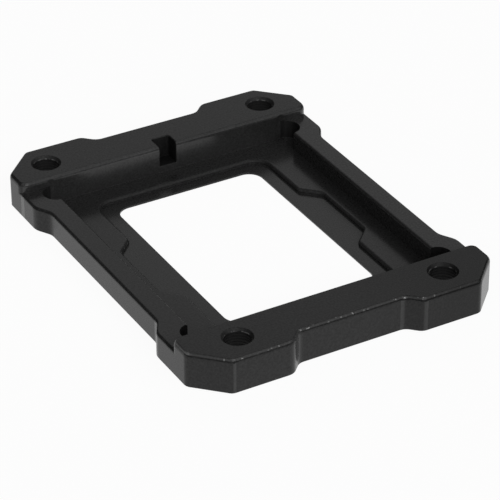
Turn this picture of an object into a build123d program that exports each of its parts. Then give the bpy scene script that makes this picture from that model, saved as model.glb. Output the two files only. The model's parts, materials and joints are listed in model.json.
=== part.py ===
from build123d import *
import math
import os

# Retention frame that holds a processor down in its board socket: one plate milled from aluminium bar.
# It lies on its cooler side with its pocket up: X across, Y along, Z up, with the origin under its centre.
# Sizes are in millimetres and angles in degrees. They build up outwards from the window to the outline.

# Window that the processor's lid stands in
window_width = 26.5
window_length = 39.4
window_corner_radius = 2.5

# Thin lip around the window, which presses on the rim of the lid, in a recess of the pocket floor
lip_thickness = 0.35
lip_width_sides = 2.5
lip_width_ends = 2.15
recess_corner_radius = 2.8
recess_depth = 0.72

# Ears of the recess at the middle of each long side
ear_reach = 2.95
ear_length = 16.0
ear_slope = 45.0
ear_radius = 1.2

# Pocket over the socket, with round reliefs at its corners where the cutter turned
shelf_width_at_ears = 3.1
shelf_width_at_ends = 3.9
pocket_wall_height = 3.23
corner_relief_radius = 2.25
corner_relief_bite = 0.1

# Side bars, and the rise of the end bars above them
side_bar_width = 3.65
end_bar_rise = 1.75
end_bar_inner_corner_radius = 1.4

# Relief in the middle of each outer side, so that only pads near the corners reach the full size
side_relief_depth = 1.6
side_relief_length = 39.2
side_relief_slope = 30.0
side_relief_radius = 2.8
end_relief_depth = 2.05
end_relief_length = 20.8
end_relief_slope = 45.0
end_relief_radius = 2.0

# Cut-off corners of the outline
corner_cut = 5.15
corner_radius = 1.4

# Screw holes: a pair through each end bar, the rear pair wider apart than the front pair
hole_to_pocket = 4.61
hole_to_end = 5.19
rear_hole_to_side = 6.7
front_hole_to_side = 8.85
hole_diameter = 4.3
hole_mouth_diameter = 5.0
hole_mouth_depth = 0.5
head_recess_diameter = 7.2
head_seat_thickness = 3.5

# Notch in the inner wall of the rear bar
notch_width = 3.2
notch_depth = 2.9
notch_floor_above_shelf = 1.13
notch_corner_radius = 0.5
notch_edge_break = 0.15

# Rounded edges, and the depth that the rounded end bars are faced off
end_bar_edge_radius = 1.1
end_bar_facing = 0.26
side_bar_edge_radius = 0.5
pocket_edge_radius = 0.4
recess_edge_radius = 0.5
bottom_edge_break = 0.12

# Plan sizes that follow
recess_width = window_width + 2 * lip_width_sides
recess_length = window_length + 2 * lip_width_ends
pocket_width = recess_width + 2 * (ear_reach + shelf_width_at_ears)
pocket_length = recess_length + 2 * shelf_width_at_ends
width = pocket_width + 2 * (side_bar_width + side_relief_depth)
hole_row_y = pocket_length / 2 + hole_to_pocket
length = 2 * (hole_row_y + hole_to_end)
rear_hole_spacing = width - 2 * rear_hole_to_side
front_hole_spacing = width - 2 * front_hole_to_side

# Heights that follow
shelf_height = lip_thickness + recess_depth
side_bar_height = shelf_height + pocket_wall_height
height = side_bar_height + end_bar_rise

# Cutting tools reach this far past the faces that they open
overshoot = 1.0
cut_top = height + overshoot


def half_run(depth, slope):
    """Half the distance that a sloped jog takes along its side."""
    return depth / math.tan(math.radians(slope)) / 2


def mirrored_face(quarter):
    """Face whose outline is its +X +Y quarter, as (x, y, corner radius) in turn, mirrored about both axes."""
    rear_left = [(-x, y, radius) for x, y, radius in reversed(quarter)]
    front_left = [(-x, -y, radius) for x, y, radius in quarter]
    front_right = [(x, -y, radius) for x, y, radius in reversed(quarter)]
    corners = quarter + rear_left + front_left + front_right
    points = [(x, y) for x, y, radius in corners]
    radii = [radius for x, y, radius in corners]
    return make_face(FilletPolyline(*points, radius=radii, close=True))


def frame_outline():
    """Outer outline: pads at the cut-off corners, with shallow reliefs between them."""
    side_run = half_run(side_relief_depth, side_relief_slope)
    end_run = half_run(end_relief_depth, end_relief_slope)
    side_x = width / 2
    end_y = length / 2
    return mirrored_face(
        [
            (side_x - side_relief_depth, side_relief_length / 2 - side_run, side_relief_radius),
            (side_x, side_relief_length / 2 + side_run, side_relief_radius),
            (side_x, end_y - corner_cut, corner_radius),
            (side_x - corner_cut, end_y, corner_radius),
            (end_relief_length / 2 + end_run, end_y, end_relief_radius),
            (end_relief_length / 2 - end_run, end_y - end_relief_depth, end_relief_radius),
        ]
    )


def recess_outline():
    """Recess around the window, with an ear on each long side."""
    ear_run = half_run(ear_reach, ear_slope)
    return mirrored_face(
        [
            (recess_width / 2 + ear_reach, ear_length / 2 - ear_run, ear_radius),
            (recess_width / 2, ear_length / 2 + ear_run, ear_radius),
            (recess_width / 2, recess_length / 2, recess_corner_radius),
        ]
    )


def side_plate(outline):
    """Plate of the whole outline, as thick as the side bars, with its outer edges eased."""
    plate = extrude(outline, side_bar_height)
    plate = fillet(plate.faces().sort_by(Axis.Z)[-1].edges(), side_bar_edge_radius)
    return chamfer(plate.faces().sort_by(Axis.Z)[0].edges(), bottom_edge_break)


def rear_bar(outline):
    """Raised bar at the rear end, rounded all round its top edge and then faced off flat."""
    depth = (length - pocket_length) / 2 + overshoot
    region = Pos(0, (pocket_length + depth) / 2) * Rectangle(width + 2 * overshoot, depth)
    plan = outline & region
    plan = fillet(plan.vertices().sort_by(Axis.Y)[:2], end_bar_inner_corner_radius)
    foot = side_bar_height / 2
    bar = Pos(0, 0, foot) * extrude(plan, height + end_bar_facing - foot)
    bar = fillet(bar.faces().sort_by(Axis.Z)[-1].edges(), end_bar_edge_radius)
    return split(bar, Plane.XY.offset(height), keep=Keep.BOTTOM)


def pocket_cut():
    """Everything milled away inside the bars: pocket, corner reliefs, recess and window."""
    relief_spacing = pocket_length - 2 * (corner_relief_radius - corner_relief_bite)
    reliefs = GridLocations(pocket_width, relief_spacing, 2, 2) * Circle(corner_relief_radius)
    pocket = Rectangle(pocket_width, pocket_length) + reliefs
    window = mirrored_face([(window_width / 2, window_length / 2, window_corner_radius)])
    cut = Pos(0, 0, shelf_height) * extrude(pocket, cut_top - shelf_height)
    cut += Pos(0, 0, lip_thickness) * extrude(recess_outline(), cut_top - lip_thickness)
    return cut + Pos(0, 0, -overshoot) * extrude(window, cut_top + overshoot)


def notch_cut():
    """Notch in the rear bar's inner wall, with round corners at its back and its top edge broken."""
    depth = notch_depth + overshoot
    plan = Pos(0, pocket_length / 2 + notch_depth - depth / 2) * Rectangle(notch_width, depth)
    plan = fillet(plan.vertices().sort_by(Axis.Y)[2:], notch_corner_radius)
    floor = shelf_height + notch_floor_above_shelf
    flare_foot = height - notch_edge_break
    flare = Pos(0, 0, flare_foot) * extrude(plan, cut_top - flare_foot, taper=-45)
    return Pos(0, 0, floor) * extrude(plan, cut_top - floor) + flare


def screw_hole_cut():
    """Turned outline of one screw hole: head recess below, bore, and broken mouth on the board side."""
    hole_radius = hole_diameter / 2
    mouth_radius = hole_mouth_diameter / 2
    head_radius = head_recess_diameter / 2
    seat = height - head_seat_thickness
    mouth = height - hole_mouth_depth
    profile = Polyline(
        (0, -overshoot),
        (head_radius, -overshoot),
        (head_radius, seat),
        (hole_radius, seat),
        (hole_radius, mouth),
        (mouth_radius, height),
        (mouth_radius, cut_top),
        (0, cut_top),
        close=True,
    )
    return revolve(Plane.XZ * make_face(profile), Axis.Z)


def round_pocket_edges(body):
    """Rounds the top edges of the pocket's long walls and the edge of the recess in its floor."""
    shelf = body.faces().filter_by(Axis.Z).filter_by_position(Axis.Z, shelf_height, shelf_height)
    body = fillet(shelf[0].inner_wires()[0].edges(), recess_edge_radius)
    top_edges = body.edges().filter_by(Axis.Y).filter_by_position(Axis.Z, side_bar_height, side_bar_height)
    wall_edges = top_edges.filter_by_position(Axis.X, -pocket_width / 2, -pocket_width / 2)
    wall_edges += top_edges.filter_by_position(Axis.X, pocket_width / 2, pocket_width / 2)
    return fillet(wall_edges, pocket_edge_radius)


def contact_frame():
    outline = frame_outline()
    rear_end = rear_bar(outline)
    body = side_plate(outline) + rear_end + mirror(rear_end, about=Plane.XZ)
    body -= pocket_cut() + notch_cut()
    for row_y, spacing in ((hole_row_y, rear_hole_spacing), (-hole_row_y, front_hole_spacing)):
        body -= Pos(spacing / 2, row_y) * screw_hole_cut()
        body -= Pos(-spacing / 2, row_y) * screw_hole_cut()
    return round_pocket_edges(body)


os.makedirs("parts", exist_ok=True)
frame = contact_frame()
print("length", round(length, 3), "width", round(width, 3), "height", round(height, 3))
print("rear holes", round(rear_hole_spacing, 3), "front holes", round(front_hole_spacing, 3))
print("hole rows at", round(hole_row_y, 3), "from the middle")
export_step(frame, "parts/contact_frame.step")
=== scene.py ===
"""Looks of a black anodised retention frame for a processor socket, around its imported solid."""
import json
import math

import bpy
from mathutils import Matrix, Vector


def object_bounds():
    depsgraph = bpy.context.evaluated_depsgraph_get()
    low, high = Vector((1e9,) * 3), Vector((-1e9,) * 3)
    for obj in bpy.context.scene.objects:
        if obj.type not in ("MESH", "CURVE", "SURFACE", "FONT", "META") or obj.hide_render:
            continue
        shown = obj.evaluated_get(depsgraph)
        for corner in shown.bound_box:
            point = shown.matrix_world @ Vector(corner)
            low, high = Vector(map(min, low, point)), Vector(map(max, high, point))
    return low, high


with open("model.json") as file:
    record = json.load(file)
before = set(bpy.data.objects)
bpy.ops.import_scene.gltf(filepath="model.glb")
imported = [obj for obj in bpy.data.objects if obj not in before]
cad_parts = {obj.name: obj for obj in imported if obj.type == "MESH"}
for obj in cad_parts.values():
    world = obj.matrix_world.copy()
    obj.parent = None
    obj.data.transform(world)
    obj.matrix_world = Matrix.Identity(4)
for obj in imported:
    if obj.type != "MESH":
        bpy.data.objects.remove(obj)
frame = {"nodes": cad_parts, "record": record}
cad_low, cad_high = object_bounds()

MM = 0.001


def span(start, low, high):
    """Two limits, given in millimetres from a place."""
    return (start + low * MM, start + high * MM)


# Camera, as fitted to the photograph: angles in degrees, distances in millimetres
VIEW_AZIMUTH = -29.4560
VIEW_ELEVATION = 31.9066
VIEW_ROLL = -0.2731
VIEW_DISTANCE = 423.314
AIM_RIGHT = 1.0088
AIM_DOWN = 0.7137
SENSOR_WIDTH = 36.0
FOCAL_LENGTH = 189.05
CLIP_START = 10.0

# Satin film on the milled plate: blasting softened its edges and left a fine grain
EDGE_ROUND = 0.10 * MM
EDGE_SAMPLES = 6
FILM_INDEX = 1.35
FILM_ROUGHNESS = 0.2
DYE = 0.033
GRAIN = 0.85
GRAIN_SCALE = 3000.0
GRAIN_DETAIL = 2.0
BUMP_STRENGTH = 0.12
BUMP_HEIGHT = 0.02 * MM

# Finish that differs by place: coat weights, roughness, and shares by which painted light and painted
# shade change the dye
LOW_FACE_GLOSS = 0.13
LIP_GLOSS = 0.14
REAR_WALL_GLOSS = 0.62
REAR_WALL_ROUGHNESS = 0.33
EASED_ROUGHNESS = 0.5
DEEP_ROUGHNESS = 0.6
MOUTH_ROUGHNESS = 0.5
# Painted light: the share by which the dye is lighter on the right bar's low faces
PAINTED_LIGHT_SIDE = 0.4
# Painted shade: the share by which the dye is darker towards the right end of the front bar
PAINTED_SHADE_END = 0.5
# Painted shade: the share by which the dye is darker in the notch, the bores and the reliefs
PAINTED_SHADE_DEEP = 0.7

# Slopes, as the upward part of a face's normal: 1 on a level face and 0 on a wall
LEVEL = 0.7
SLOPED = 0.97
STEEP = 0.5
UPRIGHT = 0.2
OFF_WALL = 0.1
EASED = (0.15, SLOPED)
CREST_RISE = (0.38, 0.52)
CREST_FALL = (0.60, 0.74)

# Turn of the upright edges that carry a painted highlight, as the rightward part of the normal
TURN_RISE = (-0.42, -0.22)
TURN_FALL = (-0.10, -0.01)

# Places that the finish goes by: most from the frame's bounds, the rest from its underside or its middle
TOP = cad_high.z
SIDE = cad_high.x
END = cad_high.y
POCKET_SIDE = SIDE - 5.25 * MM
POCKET_END = END - 9.80 * MM
FRONT_BAR = 10.55 * MM - END
RIGHT_BAR = SIDE - 4.75 * MM
RAISED_TOP = TOP - 0.75 * MM
SIDE_BAR_TOP = TOP - 1.65 * MM
LIP_TOP = 0.5 * MM
EASED_SIDE = POCKET_SIDE + 0.60 * MM
EASED_END = POCKET_END - 0.15 * MM
RELIEF_SIDE = span(POCKET_SIDE, 0.05, 2.40)
RELIEF_END = POCKET_END + 0.15 * MM
REAR_WALL = span(POCKET_END, -0.75, 0.45)
REAR_EDGE = span(POCKET_END, -0.05, 0.75)
NOTCH_HALF_WIDTH = 1.75 * MM
NOTCH_LENGTH = span(POCKET_END, 0.25, 3.05)
NOTCH_HEIGHT = (2.1 * MM, TOP - 0.1 * MM)
# Where the painted shade on the front bar begins, and where it is full
SHADE_FADE = (-2.0 * MM, 20.0 * MM)

# Screw holes: a mouth on top, and a thread below it, whose height is in multiples of the grain's
HOLE_MARGIN = 0.4 * MM
MOUTH_BOTTOM = TOP - 0.55 * MM
MOUTH_EDGE = span(TOP, -0.57, -0.41)
THREAD_PITCH = 0.5 * MM
THREAD_HEIGHT = 14.0

# Rims of the front bar that carry a painted highlight: its sides, its end and its cut-off corners
SIDE_RIM = SIDE - 0.85 * MM
END_RIM = END - 2.55 * MM
CORNER_RIM = SIDE + END - 6.20 * MM
HIGHLIGHT_BOTTOM = TOP - 1.05 * MM
LEFT_END = span(-SIDE, 0.15, 0.85)

# Painted highlights and glints, as what they add to the dye, and how they fade to the right
EDGE_HIGHLIGHT = 0.04
END_HIGHLIGHT = 0.15
UPRIGHT_HIGHLIGHT = 0.05
REAR_EDGE_HIGHLIGHT = 0.02
REAR_STREAK_HIGHLIGHT = 0.025
FLECK_GLINT = 0.25
MOUTH_GLINT_PAINT = 0.14
LEAST_HIGHLIGHT = 0.3
HIGHLIGHT_FADE = (5.0 * MM, 20.0 * MM)
REAR_FADE = (-6.0 * MM, 10.0 * MM)

# Noise that breaks the painted highlights up, and the part of its range over which each kind comes in
PATCH_SCALE = 1900.0
STREAK_SCALE = 130.0
PATCH_DETAIL = 1.0
FLECK_PATCHES = (0.60, 0.72)
MOUTH_PATCHES = (0.50, 0.62)
STREAK_PATCHES = (0.45, 0.65)

# Room, and the soft panels that light it: azimuth, elevation, full radius and edge radius in degrees, glow
ROOM_GLOW = 0.05
KEY_PANEL = (-8.0, 32.0, 14.0, 24.0, 1.8)
FRONT_PANEL = (36.0, 38.0, 18.0, 27.0, 0.8)
LEFT_PANEL = (-62.0, 36.0, 14.0, 24.0, 0.7)
BACK_PANEL = (150.6, 31.9, 12.0, 28.0, 0.38)

# Table: glow to the camera, white under soft light, grey that shows the shadow, gloss that dims outwards
TABLE_SIZE = 600.0 * MM
TABLE_GLOW = 0.94
TABLE_WHITE = 0.8
TABLE_SHADE = 0.12
TABLE_GLOSS = 0.82
TABLE_FAR = 0.1
TABLE_REACH = (60.0 * MM, 100.0 * MM)


class Wire:
    """An output socket of a node. Arithmetic on it adds Math nodes."""

    def __init__(self, nodes, socket):
        self.nodes = nodes
        self.socket = socket

    def math(self, operation, first, second=0.0):
        return self.nodes.add("ShaderNodeMath", {"operation": operation}, {0: first, 1: second})

    def __add__(self, other):
        return self.math("ADD", self, other)

    def __sub__(self, other):
        return self.math("SUBTRACT", self, other)

    def __rsub__(self, other):
        return self.math("SUBTRACT", other, self)

    def __mul__(self, other):
        return self.math("MULTIPLY", self, other)

    def __pow__(self, other):
        return self.math("POWER", self, other)

    __radd__ = __add__
    __rmul__ = __mul__

    def __gt__(self, other):
        return self.math("GREATER_THAN", self, other)

    def __lt__(self, other):
        return self.math("LESS_THAN", self, other)

    def size(self):
        return self.math("ABSOLUTE", self)

    def sine(self):
        return self.math("SINE", self)

    def largest(self, other):
        return self.math("MAXIMUM", self, other)


class Nodes:
    """The node tree of a material or the world."""

    def __init__(self, owner):
        owner.use_nodes = True
        self.tree = owner.node_tree
        self.tree.nodes.clear()

    def add(self, kind, settings=None, sockets=None, out=0):
        """Adds a node: its settings first, then the values or links of its sockets."""
        node = self.tree.nodes.new(kind)
        for name, value in (settings or {}).items():
            setattr(node, name, value)
        for name, value in (sockets or {}).items():
            if isinstance(value, Wire):
                self.tree.links.new(value.socket, node.inputs[name])
            else:
                node.inputs[name].default_value = value
        return Wire(self, node.outputs[out]) if node.outputs else None

    def parts(self, vector):
        """The three components of a vector."""
        split = self.add("ShaderNodeSeparateXYZ", sockets={0: vector})
        return [Wire(self, output) for output in split.socket.node.outputs]

    def grey(self, value):
        """A value as a colour without hue."""
        return self.add("ShaderNodeCombineXYZ", sockets={0: value, 1: value, 2: value})

    def noise(self, place, scale, detail):
        return self.add("ShaderNodeTexNoise", sockets={"Vector": place, "Scale": scale, "Detail": detail})

    def mix(self, factor, first, second):
        return first + factor * (second - first)

    def within(self, value, limits):
        """1 where a value lies between two limits."""
        return (value > limits[0]) * (value < limits[1])

    def ramp(self, value, limits, bottom=0.0, top=1.0):
        """Smooth step of a value from bottom, at the first limit, to top, at the second."""
        low, high = limits
        return self.add(
            "ShaderNodeMapRange",
            {"interpolation_type": "SMOOTHSTEP"},
            {"Value": value, "From Min": low, "From Max": high, "To Min": bottom, "To Max": top},
        )

    def fade(self, value, limits, least=0.0):
        """Smooth step of a value down from 1."""
        return self.ramp(value, limits, 1.0, least)

    def band(self, value, rise, fall):
        """1 between a smooth rise and a smooth fall of a value."""
        return self.ramp(value, rise) * self.fade(value, fall)


class Surface:
    """A point of the plate's surface: its place, and how far its face turns to the right and upward."""

    def __init__(self, nodes):
        self.place = nodes.add("ShaderNodeTexCoord", out="Object")
        self.x, self.y, self.z = nodes.parts(self.place)
        normal = nodes.add("ShaderNodeNewGeometry", out="Normal")
        self.turned, _, self.upward = nodes.parts(normal)


def screw_holes(at):
    """1 in and close around the screw holes, whose places the record's mounts give."""
    holes = 0.0
    for mount in frame["record"]["mounts"]:
        if mount["kind"] == "bolt_pattern":
            across = at.x.size() - mount["dims"]["spacing_x_mm"] / 2 * MM
            along = at.y - mount["pos_m"][1]
            reach = (across * across + along * along) ** 0.5
            holes = (reach < mount["dims"]["hole_r_mm"] * MM + HOLE_MARGIN) + holes
    return holes


def highlights_and_flecks(nodes, at, holes):
    """Painted highlights and glints that make the dye paler along edges and hole mouths, and bare metal
    flecks.
    """
    patches = nodes.noise(at.place, PATCH_SCALE, PATCH_DETAIL)
    streaks = nodes.noise(at.place, STREAK_SCALE, PATCH_DETAIL)
    crest = nodes.band(at.upward, CREST_RISE, CREST_FALL)
    on_front_bar = at.y < FRONT_BAR

    # Painted highlight along the top edge of the front bar, most at its left end and least at its right
    past_side = at.x.size() - SIDE_RIM
    past_end = 0.0 - at.y - END_RIM
    past_corner = at.x.size() - at.y - CORNER_RIM
    past_rim = past_side.largest(past_end).largest(past_corner) > 0.0
    rim = past_rim * on_front_bar * (at.z > HIGHLIGHT_BOTTOM)
    painted_crest = crest * rim * nodes.fade(at.x, HIGHLIGHT_FADE, LEAST_HIGHLIGHT)
    left_highlight = painted_crest * nodes.fade(at.x, LEFT_END)
    # Bare metal flecks on the painted highlight, whose paler dye also paints glints
    glint_fleck = painted_crest * nodes.ramp(patches, FLECK_PATCHES)

    # Painted highlight on the upright edges of the front bar that turn a little to the left
    turn = nodes.band(at.turned, TURN_RISE, TURN_FALL)
    painted_upright = turn * (past_end > 0.0) * (at.upward.size() < UPRIGHT) * on_front_bar

    # Painted highlight along the inner edge of the rear bar, with streaks along it
    rear_edge = nodes.within(at.y, REAR_EDGE) * (at.upward > OFF_WALL)
    rear_edge = rear_edge * nodes.fade(at.x, REAR_FADE, LEAST_HIGHLIGHT)
    painted_rear_edge = rear_edge * (at.upward < SLOPED)
    painted_streak = rear_edge * crest * nodes.ramp(streaks, STREAK_PATCHES)

    # Painted glints on the lower edges of the mouths of the screw holes
    painted_mouth = holes * nodes.within(at.z, MOUTH_EDGE) * nodes.ramp(patches, MOUTH_PATCHES)

    painted_highlight = painted_crest * EDGE_HIGHLIGHT + left_highlight * END_HIGHLIGHT + painted_upright * UPRIGHT_HIGHLIGHT + glint_fleck * FLECK_GLINT
    painted_highlight = painted_highlight + painted_rear_edge * REAR_EDGE_HIGHLIGHT + painted_streak * REAR_STREAK_HIGHLIGHT + painted_mouth * MOUTH_GLINT_PAINT
    return painted_highlight, glint_fleck


def black_anodised():
    """Bead-blasted aluminium, dyed black and sealed: a satin film with a fine grain, and painted light and
    shade in its dye.
    """
    material = bpy.data.materials.new("black_anodised")
    nodes = Nodes(material)
    at = Surface(nodes)
    grain = nodes.noise(at.place, GRAIN_SCALE, GRAIN_DETAIL)
    holes = screw_holes(at)
    painted_highlight, glint_fleck = highlights_and_flecks(nodes, at, holes)

    # Faces by their place and slope
    level = at.upward > LEVEL
    steep = at.upward.size() < STEEP
    below_side_bars = at.z < SIDE_BAR_TOP
    low_face = (at.z < RAISED_TOP) * level
    lip = (at.z < LIP_TOP) * level
    rear_wall = nodes.within(at.y, REAR_WALL) * steep
    in_pocket = (at.x.size() < EASED_SIDE) * (at.y.size() < EASED_END)
    eased = in_pocket * below_side_bars * nodes.within(at.upward, EASED)
    mouth = holes * (at.z > MOUTH_BOTTOM) * (at.upward < SLOPED)

    # Deep places, duller than the faces, and darkened by painted shade
    bore = holes * (at.z < MOUTH_BOTTOM) * steep
    relief = nodes.within(at.x.size(), RELIEF_SIDE) * (at.y.size() < RELIEF_END)
    relief = relief * below_side_bars * steep
    notch = nodes.within(at.y, NOTCH_LENGTH) * nodes.within(at.z, NOTCH_HEIGHT)
    notch = notch * (at.x.size() < NOTCH_HALF_WIDTH)
    shaded_deep = notch.largest(bore).largest(relief)

    # Dye with its grain, and painted light and shade: lighter on the right bar, darker towards the right
    # end of the front bar and in the deep places
    lit_side = (at.x > RIGHT_BAR) * (at.y > FRONT_BAR) * low_face
    shaded_end = (at.y < FRONT_BAR) * nodes.ramp(at.x, SHADE_FADE)
    painted_light_share = (1 + PAINTED_LIGHT_SIDE * lit_side) * (1 - PAINTED_SHADE_END * shaded_end) * (1 - PAINTED_SHADE_DEEP * shaded_deep)
    dye = DYE * painted_light_share * (1 - GRAIN + 2 * GRAIN * grain) + painted_highlight

    # Sheen, by the film's roughness and a clear coat
    rough = FILM_ROUGHNESS + (REAR_WALL_ROUGHNESS - FILM_ROUGHNESS) * rear_wall
    rough = rough + (EASED_ROUGHNESS - FILM_ROUGHNESS) * eased
    rough = rough + (DEEP_ROUGHNESS - FILM_ROUGHNESS) * shaded_deep
    rough = rough + (MOUTH_ROUGHNESS - FILM_ROUGHNESS) * mouth
    coat = LOW_FACE_GLOSS * low_face + LIP_GLOSS * lip + REAR_WALL_GLOSS * rear_wall

    # Soft edges, with the grain and the thread on them
    thread = bore * (at.z * (2 * math.pi / THREAD_PITCH)).sine()
    soft_edge = nodes.add("ShaderNodeBevel", {"samples": EDGE_SAMPLES}, {"Radius": EDGE_ROUND})
    bump = nodes.add(
        "ShaderNodeBump",
        sockets={
            "Strength": BUMP_STRENGTH,
            "Distance": BUMP_HEIGHT,
            "Height": grain + THREAD_HEIGHT * thread,
            "Normal": soft_edge,
        },
    )
    film = nodes.add(
        "ShaderNodeBsdfPrincipled",
        sockets={
            "Base Color": nodes.grey(dye),
            "Metallic": glint_fleck,
            "Roughness": rough,
            "IOR": FILM_INDEX,
            "Coat Weight": coat,
            "Coat Roughness": FILM_ROUGHNESS,
            "Normal": bump,
        },
    )
    nodes.add("ShaderNodeOutputMaterial", sockets={"Surface": film})
    return material


def milled_frame(node):
    """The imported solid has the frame's form, so only its finish is set here."""
    film = black_anodised()
    for slot in node.material_slots:
        slot.material = film


def plain_grey(value):
    return (value, value, value, 1.0)


def white_table():
    """Paper that shows white to the camera, a little under white in gloss, and still takes a shadow."""
    material = bpy.data.materials.new("white_table")
    nodes = Nodes(material)
    camera_ray = nodes.add("ShaderNodeLightPath", out="Is Camera Ray")
    glossy_ray = nodes.add("ShaderNodeLightPath", out="Is Glossy Ray")
    clear_ray = nodes.add("ShaderNodeLightPath", out="Is Transmission Ray")
    seen = camera_ray.largest(glossy_ray).largest(clear_ray)
    x, y, _ = nodes.parts(nodes.add("ShaderNodeTexCoord", out="Object"))
    reach = (x * x + y * y) ** 0.5
    gloss = TABLE_GLOSS * nodes.fade(reach, TABLE_REACH, TABLE_FAR)
    glow = nodes.grey(nodes.mix(camera_ray, gloss, TABLE_GLOW))
    white = nodes.add("ShaderNodeEmission", sockets={"Color": glow, "Strength": 1.0})
    shade = nodes.add("ShaderNodeBsdfDiffuse", sockets={"Color": plain_grey(TABLE_SHADE)})
    shaded_white = nodes.add("ShaderNodeAddShader", sockets={0: white, 1: shade})
    paper = nodes.add("ShaderNodeBsdfDiffuse", sockets={"Color": plain_grey(TABLE_WHITE)})
    mixed = nodes.add("ShaderNodeMixShader", sockets={"Fac": seen, 1: paper, 2: shaded_white})
    nodes.add("ShaderNodeOutputMaterial", sockets={"Surface": mixed})
    return material


def floor():
    """Table under the frame."""
    bpy.ops.object.select_all(action="DESELECT")
    bpy.ops.mesh.primitive_plane_add(size=TABLE_SIZE, location=(0, 0, cad_low.z))
    plane = bpy.context.object
    plane.name = "table"
    plane.data.materials.append(white_table())


def panel(nodes, direction, azimuth, elevation, full_radius, edge_radius, glow):
    """Glow of a soft round panel, which fades out between two radii. Azimuth 0 is the frame's front."""
    turn = math.radians(azimuth)
    rise = math.radians(elevation)
    aim = (math.sin(turn) * math.cos(rise), -math.cos(turn) * math.cos(rise), math.sin(rise))
    towards = nodes.add(
        "ShaderNodeVectorMath", {"operation": "DOT_PRODUCT"}, {0: direction, 1: aim}, out="Value"
    )
    edge = math.cos(math.radians(edge_radius))
    full = math.cos(math.radians(full_radius))
    return nodes.ramp(towards, (edge, full), 0.0, glow)


def studio():
    """White backdrop for the camera alone, and a dim room with soft panels for gloss and light."""
    world = bpy.data.worlds.new("studio")
    bpy.context.scene.world = world
    nodes = Nodes(world)
    camera_ray = nodes.add("ShaderNodeLightPath", out="Is Camera Ray")
    direction = nodes.add("ShaderNodeTexCoord", out="Generated")
    light = ROOM_GLOW
    for place in (KEY_PANEL, FRONT_PANEL, LEFT_PANEL, BACK_PANEL):
        light = panel(nodes, direction, *place) + light
    glow = nodes.grey(nodes.mix(camera_ray, light, 1.0))
    sky = nodes.add("ShaderNodeBackground", sockets={"Color": glow, "Strength": 1.0})
    nodes.add("ShaderNodeOutputWorld", sockets={"Surface": sky})


def camera():
    """Camera at the photograph's place, aimed a little beside the middle of the frame's underside."""
    azimuth = math.radians(VIEW_AZIMUTH)
    elevation = math.radians(VIEW_ELEVATION)
    roll = math.radians(VIEW_ROLL)
    back = Vector(
        (
            math.sin(azimuth) * math.cos(elevation),
            -math.cos(azimuth) * math.cos(elevation),
            math.sin(elevation),
        )
    )
    level_right = Vector((0, 0, 1)).cross(back).normalized()
    level_up = back.cross(level_right)
    right = math.cos(roll) * level_right + math.sin(roll) * level_up
    up = math.cos(roll) * level_up - math.sin(roll) * level_right
    aim = (AIM_RIGHT * right - AIM_DOWN * up) * MM
    place = aim + back * VIEW_DISTANCE * MM
    data = bpy.data.cameras.new("camera")
    data.sensor_width = SENSOR_WIDTH
    data.lens = FOCAL_LENGTH
    data.clip_start = CLIP_START * MM
    eye = bpy.data.objects.new("camera", data)
    turn = Matrix((right, up, back)).transposed().to_4x4()
    eye.matrix_world = Matrix.Translation(place) @ turn
    bpy.context.scene.collection.objects.link(eye)
    bpy.context.scene.camera = eye


milled_frame(frame["nodes"]["contact_frame"])
floor()
studio()
camera()
bpy.context.scene.view_settings.view_transform = "Standard"
